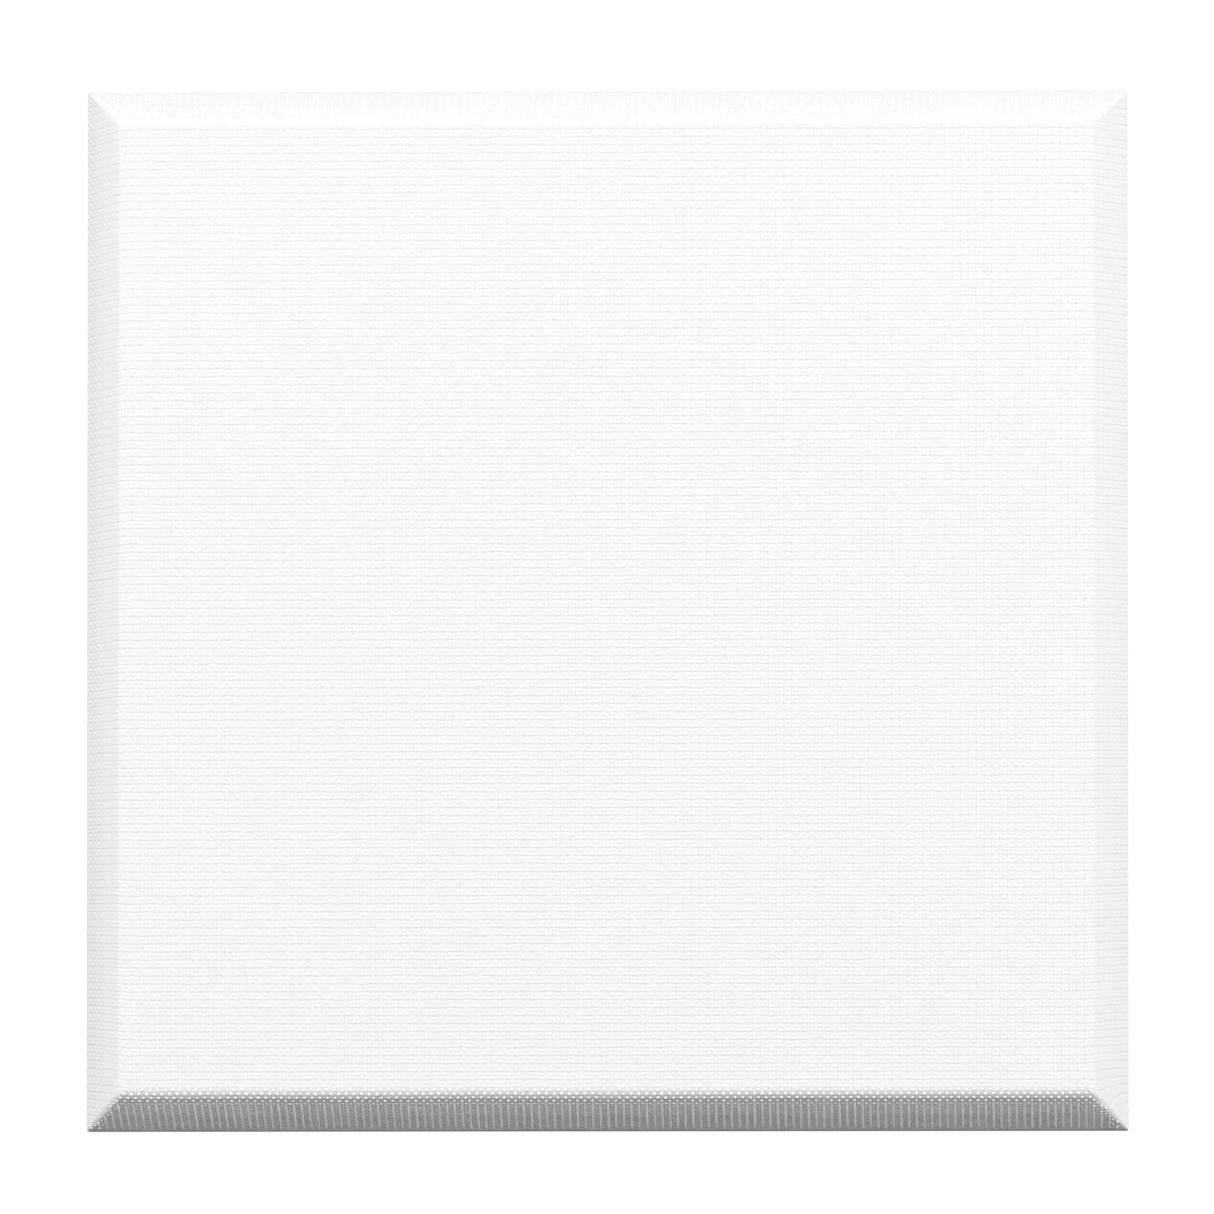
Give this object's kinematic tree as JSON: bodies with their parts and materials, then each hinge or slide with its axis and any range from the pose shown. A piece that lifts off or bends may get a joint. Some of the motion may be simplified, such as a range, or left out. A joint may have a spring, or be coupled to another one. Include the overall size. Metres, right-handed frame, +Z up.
{
  "type": "stretched canvas",
  "caption": "Square primed cotton canvas with a bevelled edge, stretched over keyable wooden bars and stapled on the back.",
  "frame": {"origin": "middle of the bottom of the whole box, level with the canvas's bottom edge", "axes": "+Z up, the painting face looks along -Y, +X to the right as seen from the front; y = 0 is mid-depth"},
  "size_m": [0.3048, 0.02, 0.3048],
  "materials": {
    "canvas_primed": "white acrylic primer over a coarse plain-weave cotton, raw cotton inside",
    "bar_pine": "planed softwood, unsealed",
    "key_wood": "sawn hardwood, unsealed",
    "staple_steel": "galvanised flat wire"
  },
  "bodies": {
    "canvas": {"canvas": "canvas_primed"},
    "bar_bottom": {"bar_bottom": "bar_pine", "staples_bottom": "staple_steel", "corner_staple_bottom_start": "staple_steel", "corner_staple_bottom_finish": "staple_steel"},
    "key_bottom_start": {"key_bottom_start": "key_wood"},
    "key_bottom_finish": {"key_bottom_finish": "key_wood"},
    "bar_right": {"bar_right": "bar_pine", "staples_right": "staple_steel"},
    "key_right_start": {"key_right_start": "key_wood"},
    "key_right_finish": {"key_right_finish": "key_wood"},
    "bar_top": {"bar_top": "bar_pine", "staples_top": "staple_steel", "corner_staple_top_start": "staple_steel", "corner_staple_top_finish": "staple_steel"},
    "key_top_start": {"key_top_start": "key_wood"},
    "key_top_finish": {"key_top_finish": "key_wood"},
    "bar_left": {"bar_left": "bar_pine", "staples_left": "staple_steel"},
    "key_left_start": {"key_left_start": "key_wood"},
    "key_left_finish": {"key_left_finish": "key_wood"}
  },
  "joints": [
    {"name": "bar_bottom_key_out", "type": "slide", "parent": "canvas", "child": "bar_bottom", "axis": [0, 0, -1], "range_m": [0, 0.0008]},
    {"name": "key_bottom_start_drive", "type": "slide", "parent": "bar_bottom", "child": "key_bottom_start", "axis": [-1, 0, 0], "range_m": [0, 0.004]},
    {"name": "key_bottom_finish_drive", "type": "slide", "parent": "bar_bottom", "child": "key_bottom_finish", "axis": [1, 0, 0], "range_m": [0, 0.004]},
    {"name": "bar_right_key_out", "type": "slide", "parent": "canvas", "child": "bar_right", "axis": [1, 0, 0], "range_m": [0, 0.0008]},
    {"name": "key_right_start_drive", "type": "slide", "parent": "bar_right", "child": "key_right_start", "axis": [0, 0, -1], "range_m": [0, 0.004]},
    {"name": "key_right_finish_drive", "type": "slide", "parent": "bar_right", "child": "key_right_finish", "axis": [0, 0, 1], "range_m": [0, 0.004]},
    {"name": "bar_top_key_out", "type": "slide", "parent": "canvas", "child": "bar_top", "axis": [0, 0, 1], "range_m": [0, 0.0008]},
    {"name": "key_top_start_drive", "type": "slide", "parent": "bar_top", "child": "key_top_start", "axis": [1, 0, 0], "range_m": [0, 0.004]},
    {"name": "key_top_finish_drive", "type": "slide", "parent": "bar_top", "child": "key_top_finish", "axis": [-1, 0, 0], "range_m": [0, 0.004]},
    {"name": "bar_left_key_out", "type": "slide", "parent": "canvas", "child": "bar_left", "axis": [-1, 0, 0], "range_m": [0, 0.0008]},
    {"name": "key_left_start_drive", "type": "slide", "parent": "bar_left", "child": "key_left_start", "axis": [0, 0, 1], "range_m": [0, 0.004]},
    {"name": "key_left_finish_drive", "type": "slide", "parent": "bar_left", "child": "key_left_finish", "axis": [0, 0, -1], "range_m": [0, 0.004]}
  ],
  "couplings": [
    {"joint": "key_bottom_start_drive", "follows": "bar_bottom_key_out", "ratio": 5},
    {"joint": "key_bottom_finish_drive", "follows": "bar_bottom_key_out", "ratio": 5},
    {"joint": "key_right_start_drive", "follows": "bar_right_key_out", "ratio": 5},
    {"joint": "key_right_finish_drive", "follows": "bar_right_key_out", "ratio": 5},
    {"joint": "key_top_start_drive", "follows": "bar_top_key_out", "ratio": 5},
    {"joint": "key_top_finish_drive", "follows": "bar_top_key_out", "ratio": 5},
    {"joint": "key_left_start_drive", "follows": "bar_left_key_out", "ratio": 5},
    {"joint": "key_left_finish_drive", "follows": "bar_left_key_out", "ratio": 5}
  ]
}
